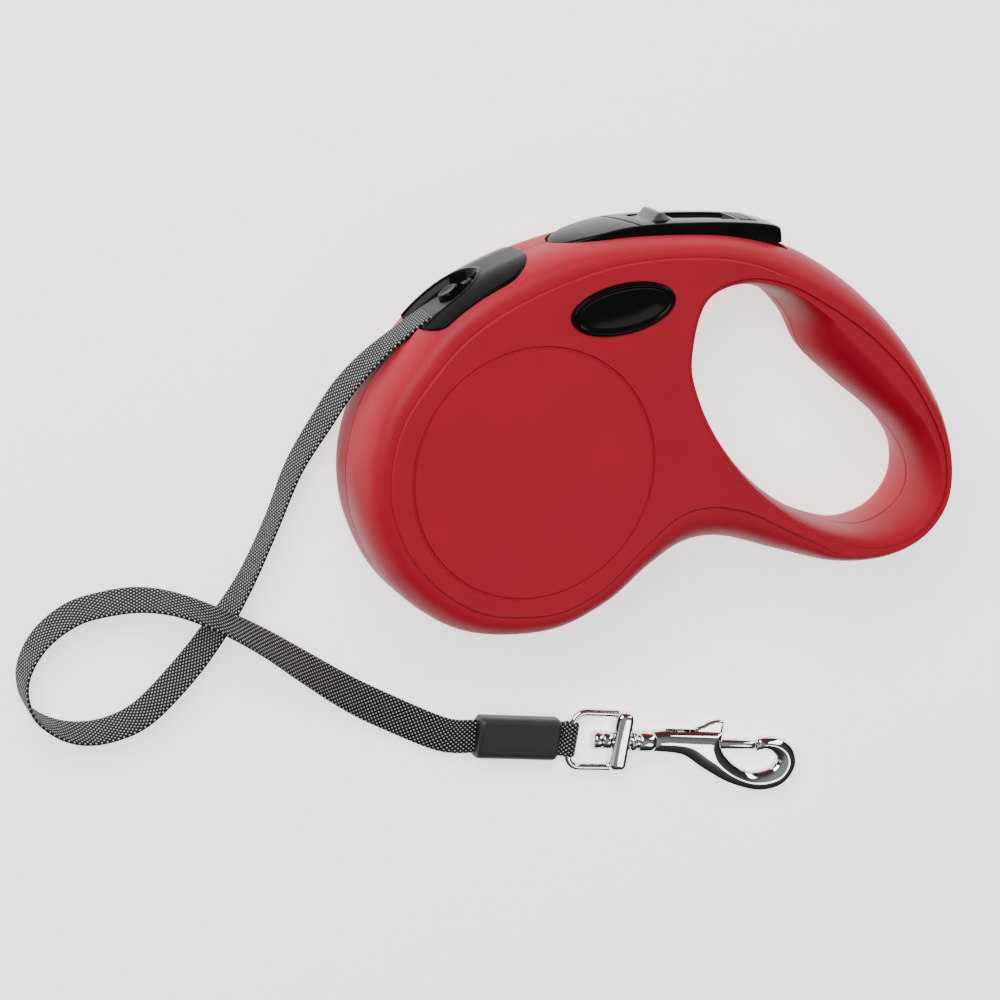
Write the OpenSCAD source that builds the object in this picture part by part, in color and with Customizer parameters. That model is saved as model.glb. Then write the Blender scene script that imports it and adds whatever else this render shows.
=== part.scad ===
// Retractable tape leash lying on its rear face. Millimetres, +Z up through the thickness.
// Inner values are laid out from the reel's axis; place() moves them to the part's own origin,
// the middle of the casing's box on the surface that it lies on.

/* [Casing] */
// Thickness of the closed casing
casing_t = 33; // [33:0.5:36]
// Skin of the two shells over the reel
skin = 2.2; // [1.8:0.1:2.4]
// Height of the rounded rim on each face
rim_h = 12; // [10:0.5:13]
// Radius of the ring groove on the front face
ring_r = 35.7; // [30:0.1:37]
// Long half-axis of the oval badge
badge_a = 15.5; // [12:0.5:16]
// Short half-axis of the oval badge
badge_b = 7; // [5:0.5:8]

/* [Tape] */
// Width of the tape
tape_w = 10; // [9:0.5:10]
// Thickness of the tape
tape_t = 1; // [0.8:0.1:1]
// Outer radius of the tape wound on the reel
wound_r = 38; // [30:1:39]

/* [Reel] */
// Radius of the reel's flanges and brake teeth
reel_r = 44; // [43.5:0.1:44]
// Radius of the drum under the tape
drum_r = 15; // [13:0.5:18]
// Number of brake teeth
teeth = 24; // [24:12:24]
// Depth of a brake tooth
tooth_h = 3; // [2.5:0.1:3]
// Radius of the fixed axle
axle_r = 4; // [3.5:0.5:4]
// Radius of the spring chamber
cup_r = 31; // [28:1:34]

/* [Brake button] */
// Width of the button across the casing
button_w = 19; // [17:0.5:19]
// Radius of the button's hinge pin
pin_r = 1.5; // [1.2:0.1:1.5]

/* [Hook] */
// Height of the hook's axis above the surface
hook_z = 3.6; // [3.6:0.1:4]
// Radius of the eye's wire
wire_r = 1.2; // [1:0.05:1.2]
// Radius of the sliding bolt
bolt_r = 1.7; // [1.5:0.05:1.7]
// Length of the rubber sleeve
sleeve_l = 26; // [22:1:26]

/* [Hidden] */

round_fn = 96;
wire_fn = 32;
eps = 0.01;
mid_z = casing_t / 2;
face_z = casing_t;
run_gap = 0.05;
free_gap = 0.4;

// The casing's outline at half thickness: x, y and how far the rounded rim reaches in.
outline = [
  [50, 57.5, 5.5], [30, 60, 6.5], [12, 59, 7.5], [-6, 55, 8], [-20, 48.5, 8],
  [-31, 39.2, 7.5], [-42, 26.5, 7], [-48.5, 10, 7], [-48.5, -8, 7], [-41, -27, 7.5],
  [-24, -43, 7.5], [0, -49, 7], [19, -45, 7], [34, -37, 8.5], [46, -33, 11], [58, -34.5, 9.5],
  [74, -42, 6.5], [90, -49, 4], [106, -51.5, 3.6], [119, -48, 2.6], [128, -39, 2.2],
  [131, -26, 2.6], [129.5, -11, 4], [124, 4, 5.5], [115, 19, 6], [103, 33, 7], [88, 45, 7.5],
  [70, 53, 6]];
// The hand opening: x, y at the faces, then x, y at half thickness, where the grip bulges.
opening = [
  [49.5, 22, 52, 22], [50.5, 10, 53, 10.5], [54.5, -2, 57, -1], [61, -14, 63.5, -12.5],
  [70, -25.5, 72, -23], [81, -35.5, 82.5, -32.5], [93, -42.5, 94, -39.5],
  [105, -46.5, 105, -43.5], [117, -45, 114.5, -42], [125.2, -37, 121.5, -36],
  [127.2, -25, 122, -26], [124, -12, 115, -13], [116.5, 3.5, 101, 2],
  [105.5, 17.5, 91.5, 13.5], [93.5, 28.5, 88, 24], [81, 37.5, 81, 33], [68, 41.5, 68, 38.5],
  [55.5, 38, 57.5, 35.5]];
steps_per_span = 3;
rim_angles = [0, 25, 45, 62, 77, 90];

module place() { translate([-origin_x, -origin_y, 0]) children(); }

// Catmull-Rom curve through rows of numbers, closed or open.
function curve_at(a, b, c, d, t) =
  0.5 * ((2 * b) + (c - a) * t + (2 * a - 5 * b + 4 * c - d) * t * t
    + (3 * b - a - 3 * c + d) * t * t * t);
function closed_curve(p, steps) = let (n = len(p)) [
  for (i = [0 : n - 1], k = [0 : steps - 1])
    curve_at(p[(i + n - 1) % n], p[i], p[(i + 1) % n], p[(i + 2) % n], k / steps)];
function open_curve(p, steps) = let (n = len(p)) concat([
  for (i = [0 : n - 2], k = [0 : steps - 1])
    curve_at(p[max(i - 1, 0)], p[i], p[i + 1], p[min(i + 2, n - 1)], k / steps)], [p[n - 1]]);
function unit(v) = v / norm(v);

edge = closed_curve(outline, steps_per_span);
edge_x = [for (p = edge) p[0]];
edge_y = [for (p = edge) p[1]];
// The lock slider's track on the button, and the slider's highest point above it.
track_start = [43.7, 59.85];
track_deg = -10;
slider_peak = [5, 3.4];
slider_top = track_start[1] + slider_peak[0] * sin(track_deg) + slider_peak[1] * cos(track_deg);
origin_x = (min(edge_x) + max(edge_x)) / 2;
origin_y = (min(edge_y) + slider_top) / 2;
hole = closed_curve(opening, steps_per_span);
function inward(p, i) = let (
  n = len(p),
  a = p[(i + n - 1) % n],
  b = p[(i + 1) % n])
  unit([a[1] - b[1], b[0] - a[0]]);
function edge_ring(angle, grow) = [
  for (i = [0 : len(edge) - 1])
    [edge[i][0], edge[i][1]] + inward(edge, i) * (edge[i][2] * (1 - cos(angle)) - grow)];
function hole_ring(angle) = [
  for (h = hole)
    [h[2] + (h[0] - h[2]) * (1 - cos(angle)), h[3] + (h[1] - h[3]) * (1 - cos(angle))]];

// A closed solid through stacked rings; each ring is [height, points].
module stack(rings) {
  n = len(rings[0][1]);
  m = len(rings);
  points = [for (r = rings, p = r[1]) [p[0], p[1], r[0]]];
  sides = [for (j = [0 : m - 2], i = [0 : n - 1], k = [0, 1])
    let (a = j * n + i, b = j * n + (i + 1) % n)
    k == 0 ? [a, a + n, b] : [b, a + n, b + n]];
  bottom = [for (i = [0 : n - 1]) i];
  top = [for (i = [n - 1 : -1 : 0]) (m - 1) * n + i];
  polyhedron(points, concat(sides, [bottom, top]));
}
function rim_z(angle) = casing_t - rim_h + rim_h * sin(angle);
function half_rings(grow) = concat([[mid_z, edge_ring(0, grow)]],
  [for (a = rim_angles) [rim_z(a), edge_ring(a, grow)]]);
function flip_rings(rings) = [
  for (i = [len(rings) - 1 : -1 : 0]) [casing_t - rings[i][0], rings[i][1]]];
hole_half = [for (a = rim_angles) [mid_z + mid_z * sin(a), hole_ring(a)]];
hole_tail = [[casing_t + 1, hole_ring(90)]];
hole_front = concat([[mid_z - 1, hole_ring(0)]], hole_half, hole_tail);

// The nozzle's seat in the rim, seen along the thickness.
nozzle_seat = [[8, 64], [5, 53.5], [-6, 49.8], [-15, 46], [-27, 39.6], [-34, 45], [-20, 62]];
nozzle_z = [3.5, 29.5];
// The way that the tape takes through the shells and the nozzle.
tape_way = [[6, 39], [1.1, 45.4], [-8.6, 50.7], [-12, 51.2], [-14, 60], [-32, 60], [-32, 39.6],
  [-27, 42.1], [-20, 45.4], [-14, 47.2], [-12.8, 44.6], [-8, 43.5], [-4, 40]];
way_z = [10.9, 22.1];

// The brake button, its bay and its pawl, seen along the thickness.
button_pivot = [21.5, 54.8];
button_side = [[17.5, 57.2], [18, 58.9], [22, 60.1], [28, 60.8], [38, 61.2], [50, 60], [65, 57.4],
  [76, 55], [82, 53.2], [84.3, 51], [84.3, 47.5], [70, 51], [50, 54.6], [30, 56], [26, 54.6]];
bay_side = [[16.9, 70], [16.9, 51], [27, 51], [50, 51.6], [70, 46.8], [85, 42.3], [85, 70]];
pawl_side = [[38, 55.44], [45, 54.95], [41.5, 44], [36.4, 30.9], [33.9, 29], [32.2, 31],
  [36.5, 44]];
pawl_way = [[29, 34.5], [37.5, 26.5], [48, 53], [33, 54]];
pawl_z = [22.4, 24.6];
press_deg = 4;

// Levels through the reel.
gap_z = [11, 22];
flange_t = 1.2;
brake_t = 3;
cup_floor_z = gap_z[0] - flange_t;
cup_z = 4;
lid_z = 3;
boss_top_z = 2.7;
hub_top_z = 28.4;
washer_t = 0.5;
clip_t = 0.6;
axle_top_z = 30.2;
chamber_r = reel_r + 1.5;
roller_at = [-10, 46.2];
roller_r = 2.2;
guide_r = 1;

// Casing screws: where they stand, and their sizes.
screw_at = [[57, -18], [97.5, 29.5], [119.5, -7]];
screw_r = 1.25;
head_r = 2.6;
head_t = 1.8;

// The hook lies along its own axis; x runs from the sleeve to the hook's bow.
hook_at = [30, -98];
hook_deg = -16.5;
bar_x = -18;
sleeve_x = [-22.2 - sleeve_l, -22.2];
loop_t = 2.2;
sleeve_size = [12.6, 6.8];
block_x = [-4.6, 1.4];
post_r = 2;
neck_x = 1.75;
bolt_x = [20, 43.3];
bolt_travel = 9;
bore_x = 8;
module hook_frame() {
  translate([hook_at[0], hook_at[1], hook_z]) rotate(hook_deg) children();
}
function on_hook(x) = [hook_at[0] + x * cos(hook_deg), hook_at[1] + x * sin(hook_deg)];

// The tape's route: x, y, height of its middle, and its lean, 90 on edge and 0 flat.
run_in = [-13, 7, 6];
sleeve_in = on_hook(sleeve_x[0]);
before_sleeve = on_hook(sleeve_x[0] - 10);
route = [
  [18.1, 34.6, mid_z, 90], [4, 42.3, mid_z, 90], [-6, 48.3, mid_z, 90], [-12, 49.6, mid_z, 90],
  [-20, 46.9, 16.5, 90], [-28, 42.9, 16, 88], [-36.5, 37.3, 14.4, 82], [-44.2, 30.1, 11.6, 78],
  [-51, 21.3, 9, 77], [-60.2, 9, 6.6, 82], [-68.5, -6, 5.4, 86], [-78.4, -20.9, 5.3, 82],
  [-88.4, -32.4, 5, 70], [-99.4, -42.6, 4.8, 64], [-111.8, -51.2, 4.9, 65],
  [-121.5, -53.6, 5, 68], [-130.6, -52.6, 5, 70], [-138.3, -48.2, 5.2, 78],
  [-143.3, -41.4, 5.3, 88], [-143.3, -31.9, 5.3, 96], [-137.3, -23.4, 5.2, 104],
  [-127.7, -18.3, 5.3, 110], [-117.9, -17.2, 6.2, 113], [-108.5, -17.6, 8.6, 115],
  [-99.4, -20.4, 11.8, 115], [-89.6, -26.4, 14.1, 118], [-77.3, -37, 10.4, 126],
  [-65.4, -48.9, 6.4, 138], [-52.5, -61.4, 3.6, 153], [-41, -70.8, 2.4, 168],
  [before_sleeve[0], before_sleeve[1], 2.8, 178], [sleeve_in[0], sleeve_in[1], hook_z, 180]];
inner_spans = 4;
steps_per_tape_span = 2;
line = open_curve(route, steps_per_tape_span);
tape_split = inner_spans * steps_per_tape_span;

function section_point(at, side, up, w, t) =
  [at[0], at[1], at[2]] + side * w + up * t;
function tape_ring(i) = let (
  n = len(line),
  a = line[max(i - 1, 0)],
  b = line[min(i + 1, n - 1)],
  along = unit([b[0] - a[0], b[1] - a[1], b[2] - a[2]]),
  level = unit([-along[1], along[0], 0]),
  rise = cross(along, level),
  lean = line[i][3],
  side = level * cos(lean) + rise * sin(lean),
  up = cross(along, side),
  w = tape_w / 2,
  t = tape_t / 2,
  c = t * 0.6)
  [for (q = [[w, c], [w - c, t], [c - w, t], [-w, c], [-w, -c], [c - w, -t], [w - c, -t], [w, -c]])
    section_point(line[i], side, up, q[0], q[1])];
module tape_solid(first, last) {
  sides = 8;
  points = [for (i = [first : last], p = tape_ring(i)) p];
  m = last - first + 1;
  walls = [for (j = [0 : m - 2], i = [0 : sides - 1], k = [0, 1])
    let (a = j * sides + i, b = j * sides + (i + 1) % sides)
    k == 0 ? [a, b, a + sides] : [b, b + sides, a + sides]];
  polyhedron(points, concat(walls, [[for (i = [sides - 1 : -1 : 0]) i],
    [for (i = [0 : sides - 1]) (m - 1) * sides + i]]));
}
// A wire along a helix round the X axis.
module coil_x(x0, x1, coil_r, turns, r) {
  sides = 6;
  per_turn = 12;
  m = turns * per_turn + 1;
  points = [for (j = [0 : m - 1], k = [0 : sides - 1])
    let (a = 360 * j / per_turn, b = 360 * k / sides, q = coil_r + r * cos(b))
    [x0 + r + (x1 - x0 - 2 * r) * j / (m - 1) + r * sin(b), q * cos(a), q * sin(a)]];
  walls = [for (j = [0 : m - 2], i = [0 : sides - 1], k = [0, 1])
    let (a = j * sides + i, b = j * sides + (i + 1) % sides)
    k == 0 ? [a, a + sides, b] : [b, a + sides, b + sides]];
  polyhedron(points, concat(walls, [[for (i = [0 : sides - 1]) i],
    [for (i = [sides - 1 : -1 : 0]) (m - 1) * sides + i]]));
}
module disc(r, z0, z1, fn = round_fn) { translate([0, 0, z0]) cylinder(r = r, h = z1 - z0, $fn = fn); }
module ring(r_in, r_out, z0, z1) {
  difference() {
    disc(r_out, z0, z1);
    disc(r_in, z0 - 1, z1 + 1);
  }
}
module slab(points, z0, z1) { translate([0, 0, z0]) linear_extrude(z1 - z0) polygon(points); }
module rod_x(r, x0, x1) {
  translate([x0, 0, 0]) rotate([0, 90, 0]) cylinder(r = r, h = x1 - x0, $fn = wire_fn);
}
module at(p) { translate([p[0], p[1], 0]) children(); }

module reel_chamber() {
  disc(chamber_r, 5.5, casing_t - 5.5);
  disc(chamber_r - 4, skin, casing_t - skin);
}
module button_bay() {
  slab(bay_side, mid_z - button_w / 2 - free_gap, mid_z + button_w / 2 + free_gap);
  slab(pawl_way, pawl_z[0] - 0.6, pawl_z[1] + 0.6);
}
module grip_hollow() {
  translate([108.5, 11.5, 0]) rotate(-59) translate([-11, -4.5, 3.5]) cube([22, 9, casing_t - 7]);
}
module shell_cuts() {
  reel_chamber();
  button_bay();
  grip_hollow();
  slab(nozzle_seat, nozzle_z[0], nozzle_z[1]);
  slab(tape_way, way_z[0], way_z[1]);
  at(button_pivot) disc(pin_r, 3.5, casing_t - 3.5, wire_fn);
  at(roller_at) disc(guide_r, 8, casing_t - 8, wire_fn);
}
module oval(a, b, z0, z1) {
  slab([for (k = [0 : 7.5 : 352.5]) [a * cos(k), b * sin(k)]], z0, z1);
}
badge_at = [31, 41];
badge_recess = 0.8;
badge_rise = 0.9;
groove = [0.9, 0.6];

module front_shell() {
  color("crimson") place() difference() {
    stack(half_rings(0));
    stack(hole_front);
    shell_cuts();
    at(badge_at) oval(badge_a, badge_b, face_z - badge_recess, face_z + 1);
    ring(ring_r - groove[0] / 2, ring_r + groove[0] / 2, face_z - groove[1], face_z + 1);
    for (p = screw_at) at(p) disc(screw_r + run_gap, mid_z - 1, 24, wire_fn);
  }
}
module rear_shell() {
  color("crimson") place() union() {
    difference() {
      stack(flip_rings(half_rings(0)));
      stack(flip_rings(hole_front));
      shell_cuts();
      for (p = screw_at) at(p) {
        disc(screw_r + 0.2, -1, mid_z + 1, wire_fn);
        disc(head_r + 0.2, -1, 3, wire_fn);
      }
      disc(screw_r + 0.2, -1, skin + 1, wire_fn);
      disc(head_r + 0.2, -1, 1.5, wire_fn);
    }
    ring(screw_r + 0.2, 9, skin - 0.2, boss_top_z);
  }
}
module badge() {
  color("black") place() at(badge_at)
    oval(badge_a, badge_b, face_z - badge_recess, face_z + badge_rise);
}
module nozzle_insert() {
  proud = 0.3;
  first = 7;
  last = 14;
  front_levels = [0, 15, 30, 45.1];
  inner = [for (k = [4 : -1 : 1]) nozzle_seat[k]];
  function level(angle) = concat([for (i = [first : last]) edge_ring(angle, proud)[i]], inner);
  front = [for (a = front_levels) [rim_z(a), level(a)]];
  color("#151515") place() difference() {
    stack(concat(flip_rings(front), front));
    slab(tape_way, way_z[0], way_z[1]);
    at(roller_at) disc(roller_r + 0.5, way_z[0] - 0.1, way_z[1] + 0.1, wire_fn);
    at(roller_at) disc(guide_r, 8, casing_t - 8, wire_fn);
  }
}
module guide_pin() {
  color("silver") place() at(roller_at) disc(guide_r, 8, casing_t - 8, wire_fn);
}
module guide_roller() {
  color("dimgray") place() at(roller_at) ring(guide_r + run_gap, roller_r, way_z[0] + 0.2, way_z[1] - 0.2);
}
module brake_button() {
  half = button_w / 2;
  color("#151515") place() difference() {
    union() {
      slab(button_side, mid_z - half, mid_z + half);
      at(button_pivot) disc(3.1, mid_z - half, mid_z + half, wire_fn);
    }
    at(button_pivot) disc(pin_r + run_gap, 0, casing_t, wire_fn);
    at(track_start) rotate(track_deg) translate([-0.4, 0, mid_z - 5.4]) cube([19.4, 5, 10.8]);
  }
}
module brake_pawl() {
  color("dimgray") place() slab(pawl_side, pawl_z[0], pawl_z[1]);
}
module button_pin() {
  color("silver") place() at(button_pivot) disc(pin_r, 3.6, casing_t - 3.6, wire_fn);
}
module button_spring() {
  color("silver") place() translate([62, 49.3, mid_z]) rotate(80) coil_x(0, 3, 2.4, 3, 0.3);
}
module lock_slider() {
  color("#202020") place() at(track_start) rotate(track_deg)
    slab([[0, 0.1], [12, 0.1], [12, 0.9], [9.5, 1.2], [6.8, 3.3], slider_peak, [3.5, 1.4], [0, 0.9]],
      mid_z - 5, mid_z + 5);
}
module reel() {
  pitch = 360 / teeth;
  first_tooth = 5.5;
  root_r = reel_r - tooth_h;
  teeth_outline = [for (k = [0 : teeth - 1], c = [[-2.9, root_r], [-1.7, reel_r], [1.7, reel_r],
    [2.9, root_r]]) let (a = first_tooth + k * pitch + c[0]) [c[1] * cos(a), c[1] * sin(a)]];
  color("whitesmoke") place() difference() {
    union() {
      disc(reel_r - 1, cup_floor_z, gap_z[0]);
      disc(drum_r, gap_z[0] - 0.5, gap_z[1] + 0.5);
      slab(teeth_outline, gap_z[1], gap_z[1] + brake_t);
      disc(8, gap_z[1], hub_top_z);
      disc(cup_r + 1.5, cup_z, cup_floor_z + 0.5);
    }
    disc(cup_r, cup_z - 1, cup_floor_z);
    disc(axle_r + run_gap, 0, casing_t);
  }
}
module reel_cover() {
  color("gainsboro") place() ring(axle_r + run_gap, cup_r + 1.5, lid_z, cup_z);
}
module power_spring() {
  turns = 6;
  per_turn = 20;
  r_in = 6;
  r_out = cup_r - 0.8;
  band_t = 0.5;
  steps = turns * per_turn;
  function spiral(i, grow) = let (a = 360 * i / per_turn, r = r_in + (r_out - r_in) * i / steps + grow)
    [r * cos(a), r * sin(a)];
  color("silver") place() slab(concat([for (i = [0 : steps]) spiral(i, band_t / 2)],
    [for (i = [steps : -1 : 0]) spiral(i, -band_t / 2)]), cup_z + 0.3, cup_floor_z - 0.3);
}
module wound_tape() {
  color("#2b2b2b") place() ring(drum_r + run_gap, wound_r, mid_z - tape_w / 2, mid_z + tape_w / 2);
}
module inner_tape() { color("#2b2b2b") place() tape_solid(0, tape_split); }
module axle() {
  groove_z = hub_top_z + 0.1 + washer_t;
  color("silver") place() difference() {
    disc(axle_r, boss_top_z, axle_top_z);
    ring(axle_r - 0.6, axle_r + 1, groove_z, groove_z + clip_t + 0.05);
    disc(screw_r + run_gap, 0, 12, wire_fn);
  }
}
module axle_washer() {
  color("silver") place() ring(axle_r + run_gap, 8, hub_top_z + 0.1, hub_top_z + 0.1 + washer_t);
}
module retaining_clip() {
  z = hub_top_z + 0.1 + washer_t;
  color("silver") place() difference() {
    ring(axle_r - 0.5, 6.5, z, z + clip_t);
    translate([0, -2.4, z - 1]) cube([10, 4.8, 3]);
  }
}
module casing_screws() {
  color("silver") place() {
    for (p = screw_at) at(p) {
      disc(head_r, 3 - head_t, 3, wire_fn);
      disc(screw_r, 3 - eps, 22, wire_fn);
    }
    disc(head_r, 0.3, 1.5, wire_fn);
    disc(screw_r, 1.5 - eps, 10, wire_fn);
  }
}
module free_tape() { color("#2b2b2b") place() tape_solid(tape_split, len(line) - 1); }
module sleeve_profile() {
  r = 2.6;
  w = sleeve_size[0] / 2;
  t = sleeve_size[1] / 2;
  square([2 * t, 2 * (w - r)], center = true);
  square([2 * (t - r), 2 * w], center = true);
  for (sx = [-1, 1], sy = [-1, 1]) translate([sx * (t - r), sy * (w - r)]) circle(r, $fn = wire_fn);
}
module crimp_sleeve() {
  color("#1c1c1c") place() hook_frame() difference() {
    translate([sleeve_x[0], 0, 0]) rotate([0, 90, 0]) linear_extrude(sleeve_l) sleeve_profile();
    translate([sleeve_x[0] - 1, -tape_w / 2, -loop_t / 2]) cube([sleeve_l + 2, tape_w, loop_t]);
  }
}
module end_loop() {
  color("#2b2b2b") place() hook_frame() difference() {
    union() {
      translate([sleeve_x[0], -tape_w / 2, -loop_t / 2])
        cube([bar_x - sleeve_x[0], tape_w, loop_t]);
      translate([bar_x, tape_w / 2, 0]) rotate([90, 0, 0])
        cylinder(r = wire_r + run_gap + tape_t, h = tape_w, $fn = wire_fn);
    }
    translate([bar_x, tape_w, 0]) rotate([90, 0, 0])
      cylinder(r = wire_r + run_gap, h = 2 * tape_w, $fn = wire_fn);
  }
}
module swivel_eye() {
  bend = 4;
  side_y = 8.4;
  color("gainsboro") place() hook_frame() difference() {
    union() {
      translate([bar_x, side_y - bend, 0]) rotate([90, 0, 0])
        cylinder(r = wire_r, h = 2 * (side_y - bend), $fn = wire_fn);
      for (s = [0, 1]) mirror([0, s, 0]) {
        translate([bar_x + bend, side_y - bend, 0]) rotate([0, 0, 90])
          rotate_extrude(angle = 90, $fn = round_fn) translate([bend, 0]) circle(wire_r, $fn = wire_fn);
        translate([0, side_y, 0]) rod_x(wire_r, bar_x + bend, block_x[0] + 1);
      }
      translate([block_x[0], -9.2, -2.9]) cube([block_x[1] - block_x[0], 18.4, 5.8]);
    }
    rod_x(post_r + run_gap, block_x[0] - 1, block_x[1] + 1);
  }
}
module swivel_post() {
  color("gainsboro") place() hook_frame() union() {
    rod_x(post_r, -9, neck_x);
    rod_x(2.9, -10.8, block_x[0] - 0.35);
  }
}
// The hook's outline: the shank from the neck to the mouth, then the bow round to its tip.
bow_outer = [[14, -3.7], [20, -4.6], [27, -8.4], [37, -12.9], [47.5, -14.9], [55.5, -12.6],
  [59, -6.4], [57.2, -0.8], [52.5, 2.4], [47, 2.9], [43.7, 2.1]];
bow_inner = [[43.7, -2], [48, -1.8], [51.3, -3.8], [50.2, -6.8], [44, -8.3], [38, -6.2],
  [33.8, -2.8], [32.3, -0.5]];
hook_half_t = 3;
module hook_body() {
  outline_points = concat([[5, 3.5], [5, -3.4]], open_curve(bow_outer, 3),
    open_curve(bow_inner, 3), [[32, 4.2], [14, 4.2]]);
  color("gainsboro") place() hook_frame() difference() {
    union() {
      rod_x(3.4, neck_x, 3);
      rod_x(2.7, 3 - eps, 4);
      rod_x(3.5, 4 - eps, 8);
      slab(outline_points, -hook_half_t, hook_half_t);
    }
    rod_x(bolt_r + 0.08, bore_x, 33);
    translate([12.5, 0, -1.4]) cube([22, 6, 2.8]);
  }
}
module hook_bolt() {
  color("silver") place() hook_frame() union() {
    rod_x(bolt_r, bolt_x[0], bolt_x[1]);
    slab([[22.6, 0], [31.6, 0], [31.9, 6.6], [30.6, 7.7], [28, 7.5], [25, 6], [22.4, 5]], -1, 1);
  }
}
module bolt_spring() {
  color("silver") place() hook_frame() coil_x(bore_x + 0.2, bolt_x[0] - 0.1, 1.3, 6, 0.25);
}
front_shell();
rear_shell();
badge();
nozzle_insert();
guide_pin();
guide_roller();
brake_button();
brake_pawl();
button_pin();
button_spring();
lock_slider();
reel();
reel_cover();
power_spring();
wound_tape();
inner_tape();
axle();
axle_washer();
retaining_clip();
casing_screws();
free_tape();
crimp_sleeve();
end_loop();
swivel_eye();
swivel_post();
hook_body();
hook_bolt();
bolt_spring();
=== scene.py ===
import math

import bmesh
import bpy
import numpy as np
from mathutils import Matrix, Vector
from mathutils.geometry import delaunay_2d_cdt


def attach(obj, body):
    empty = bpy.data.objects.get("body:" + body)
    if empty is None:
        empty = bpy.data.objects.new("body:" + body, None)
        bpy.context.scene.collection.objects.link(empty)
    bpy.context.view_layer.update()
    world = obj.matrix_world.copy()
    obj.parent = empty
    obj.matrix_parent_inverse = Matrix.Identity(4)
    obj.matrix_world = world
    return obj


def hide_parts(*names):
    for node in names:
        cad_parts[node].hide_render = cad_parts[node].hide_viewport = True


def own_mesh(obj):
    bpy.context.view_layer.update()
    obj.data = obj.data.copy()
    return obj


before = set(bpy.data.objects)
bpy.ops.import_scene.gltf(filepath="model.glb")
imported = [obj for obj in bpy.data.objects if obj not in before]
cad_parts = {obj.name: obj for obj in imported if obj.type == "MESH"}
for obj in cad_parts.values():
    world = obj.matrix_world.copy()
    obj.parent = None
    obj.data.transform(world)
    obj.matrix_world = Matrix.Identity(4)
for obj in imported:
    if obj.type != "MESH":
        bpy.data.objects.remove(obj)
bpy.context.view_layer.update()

# ---------------------------------------------------------------- the frame
# Shapes are written in millimetres from the reel's axis, as in the CAD; mm() gives the part's metres.
OUTLINE = [
    (50, 57.5, 5.5), (30, 60, 6.5), (12, 59, 7.5), (-6, 55, 8), (-20, 48.5, 8), (-31, 39.2, 7.5),
    (-42, 26.5, 7), (-48.5, 10, 7), (-48.5, -8, 7), (-41, -27, 7.5), (-24, -43, 7.5),
    (0, -49, 7), (19, -45, 7), (34, -37, 8.5), (46, -33, 11), (58, -34.5, 9.5), (74, -42, 6.5),
    (90, -49, 4), (106, -51.5, 3.6), (119, -48, 2.6), (128, -39, 2.2), (131, -26, 2.6),
    (129.5, -11, 4), (124, 4, 5.5), (115, 19, 6), (103, 33, 7), (88, 45, 7.5), (70, 53, 6)]
OPENING = [
    (49.5, 22, 52, 22), (50.5, 10, 53, 10.5), (54.5, -2, 57, -1), (61, -14, 63.5, -12.5),
    (70, -25.5, 72, -23), (81, -35.5, 82.5, -32.5), (93, -42.5, 94, -39.5),
    (105, -46.5, 105, -43.5), (117, -45, 114.5, -42), (125.2, -37, 121.5, -36),
    (127.2, -25, 122, -26), (124, -12, 115, -13), (116.5, 3.5, 101, 2),
    (105.5, 17.5, 91.5, 13.5), (93.5, 28.5, 88, 24), (81, 37.5, 81, 33), (68, 41.5, 68, 38.5),
    (55.5, 38, 57.5, 35.5)]
THICK, MID, RIM = 33.0, 16.5, 12.0


def curve(rows, steps, closed=True):
    """Points of a smooth curve through the rows, with steps points to each span."""
    p, out = np.array(rows, float), []
    n = len(p)
    for i in range(n if closed else n - 1):
        if closed:
            a, b, c, d = p[i - 1], p[i], p[(i + 1) % n], p[(i + 2) % n]
        else:
            a, b, c, d = p[max(i - 1, 0)], p[i], p[i + 1], p[min(i + 2, n - 1)]
        for k in range(steps):
            t = k / steps
            out.append(0.5 * (2 * b + (c - a) * t + (2 * a - 5 * b + 4 * c - d) * t * t
                              + (3 * b - a - 3 * c + d) * t ** 3))
    if not closed:
        out.append(p[-1])
    return np.array(out)


coarse = curve(OUTLINE, 3)
ORIGIN_X = (coarse[:, 0].min() + coarse[:, 0].max()) / 2
SLIDE_AT, SLIDE_DEG, PEAK = (43.7, 59.85), -10, (5, 3.4)
slide_c, slide_s = math.cos(math.radians(SLIDE_DEG)), math.sin(math.radians(SLIDE_DEG))
ORIGIN_Y = (coarse[:, 1].min() + SLIDE_AT[1] + PEAK[0] * slide_s + PEAK[1] * slide_c) / 2


def mm(points):
    """Drum millimetres to the part's metres."""
    p = np.atleast_2d(np.array(points, float))
    return (p - (ORIGIN_X, ORIGIN_Y, 0)) / 1000


HOOK_AT, HOOK_DEG, HOOK_Z = (30, -98), -16.5, 3.6
hook_c, hook_s = math.cos(math.radians(HOOK_DEG)), math.sin(math.radians(HOOK_DEG))


def on_hook(points):
    """Hook-frame millimetres to drum millimetres."""
    p = np.atleast_2d(np.array(points, float))
    return np.stack([HOOK_AT[0] + p[:, 0] * hook_c - p[:, 1] * hook_s,
                     HOOK_AT[1] + p[:, 0] * hook_s + p[:, 1] * hook_c, HOOK_Z + p[:, 2]], 1)


# ---------------------------------------------------------------- the camera
cam_data = bpy.data.cameras.new("camera")
cam_data.lens, cam_data.sensor_width = 115, 36
cam_data.clip_start, cam_data.clip_end = 0.01, 20
camera = bpy.data.objects.new("camera", cam_data)
bpy.context.scene.collection.objects.link(camera)
right, up, back = (0.91867, -0.10839, 0.37986), (0.21930, 0.93976, -0.26221), (-0.32855, 0.32419, 0.88710)
place = mm((-298.07, 278.43, 807.59))[0]
camera.matrix_world = Matrix([[right[k], up[k], back[k], place[k]] for k in range(3)] + [[0, 0, 0, 1]])
bpy.context.scene.camera = camera


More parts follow.
